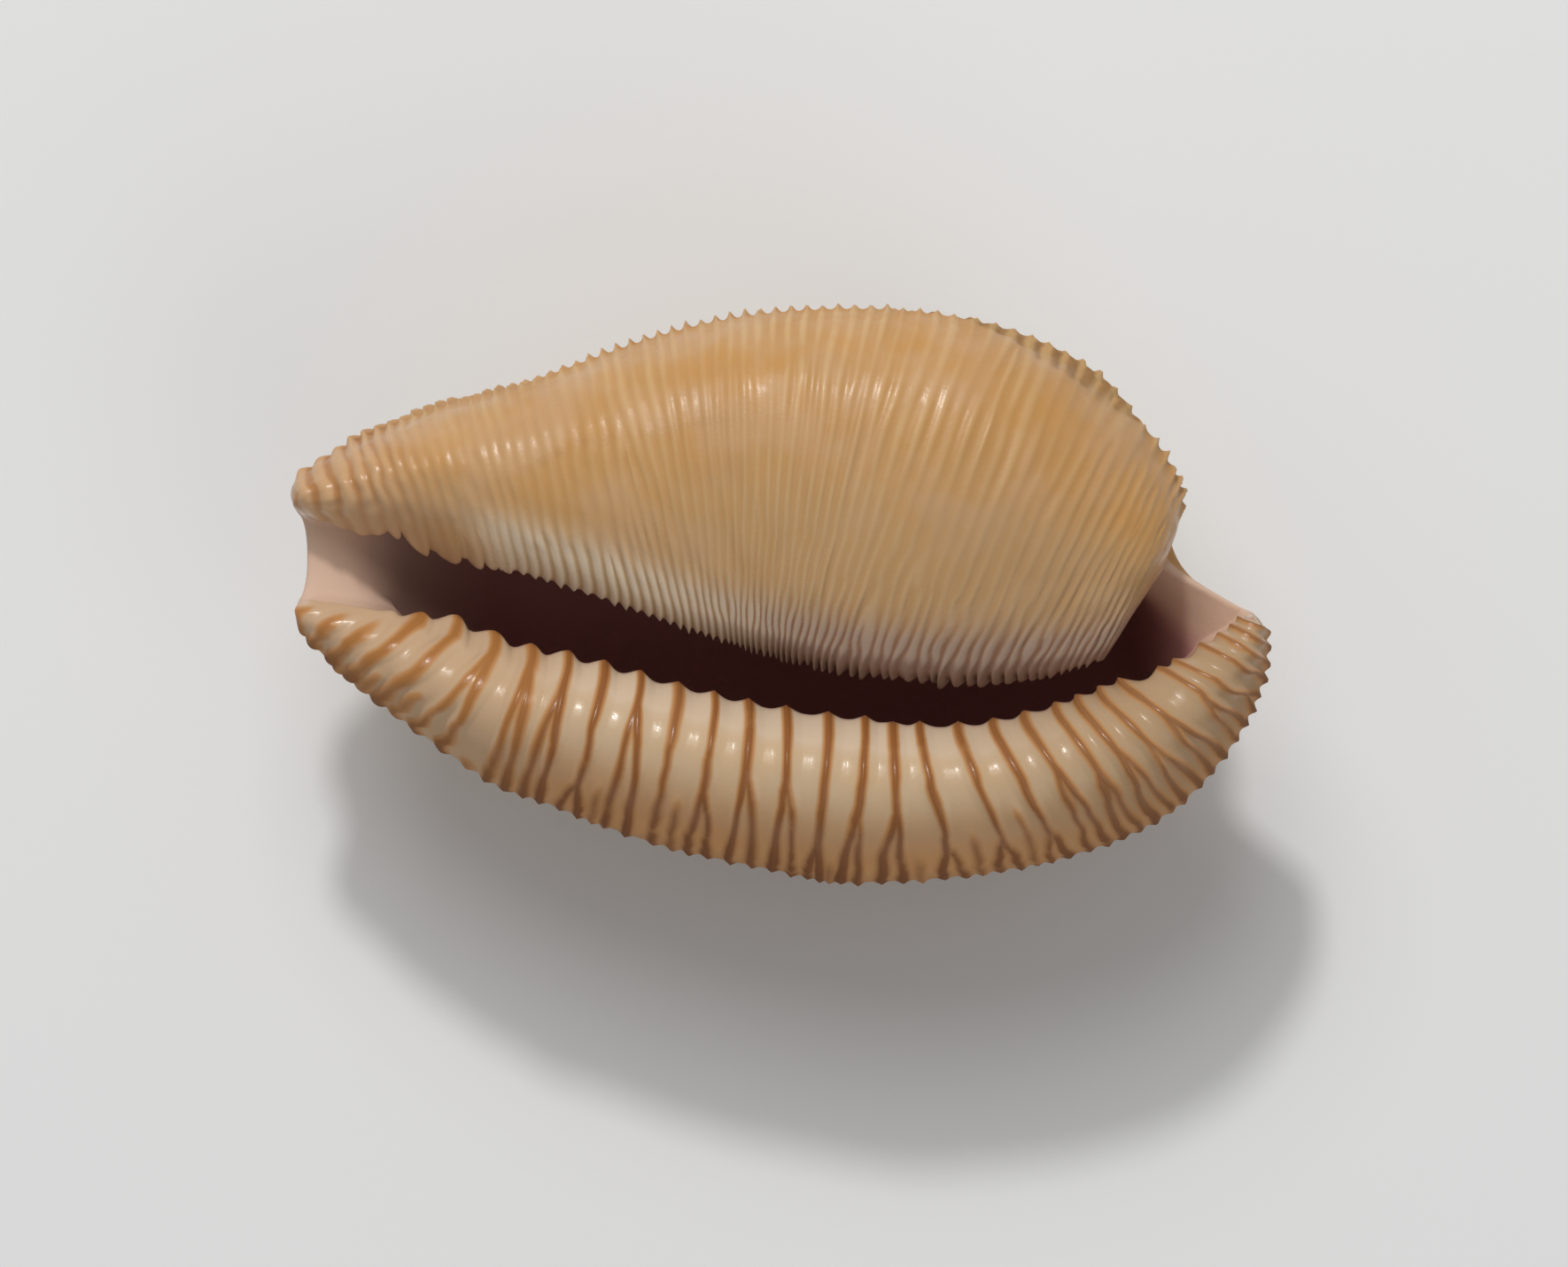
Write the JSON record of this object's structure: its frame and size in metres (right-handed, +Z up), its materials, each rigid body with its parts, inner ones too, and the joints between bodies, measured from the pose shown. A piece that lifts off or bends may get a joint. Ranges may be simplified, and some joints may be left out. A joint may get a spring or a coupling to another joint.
{
  "type": "cowrie shell",
  "caption": "Small egg-shaped sea snail shell lying on its back, with a long toothed mouth slit and fine ribs all over.",
  "frame": {"origin": "middle of the bounding box in X and Y, at the bottom of the shell, on the surface that it lies on", "axes": "+X along the shell to its back (posterior) end, +Y to the columellar side, +Z up out of the mouth"},
  "size_m": [0.03, 0.018, 0.0153],
  "materials": {
    "shell": "glossy tan and cream porcelain with brown ridges on the outer lip"
  },
  "bodies": {
    "root": {"shell": "shell"}
  },
  "joints": []
}
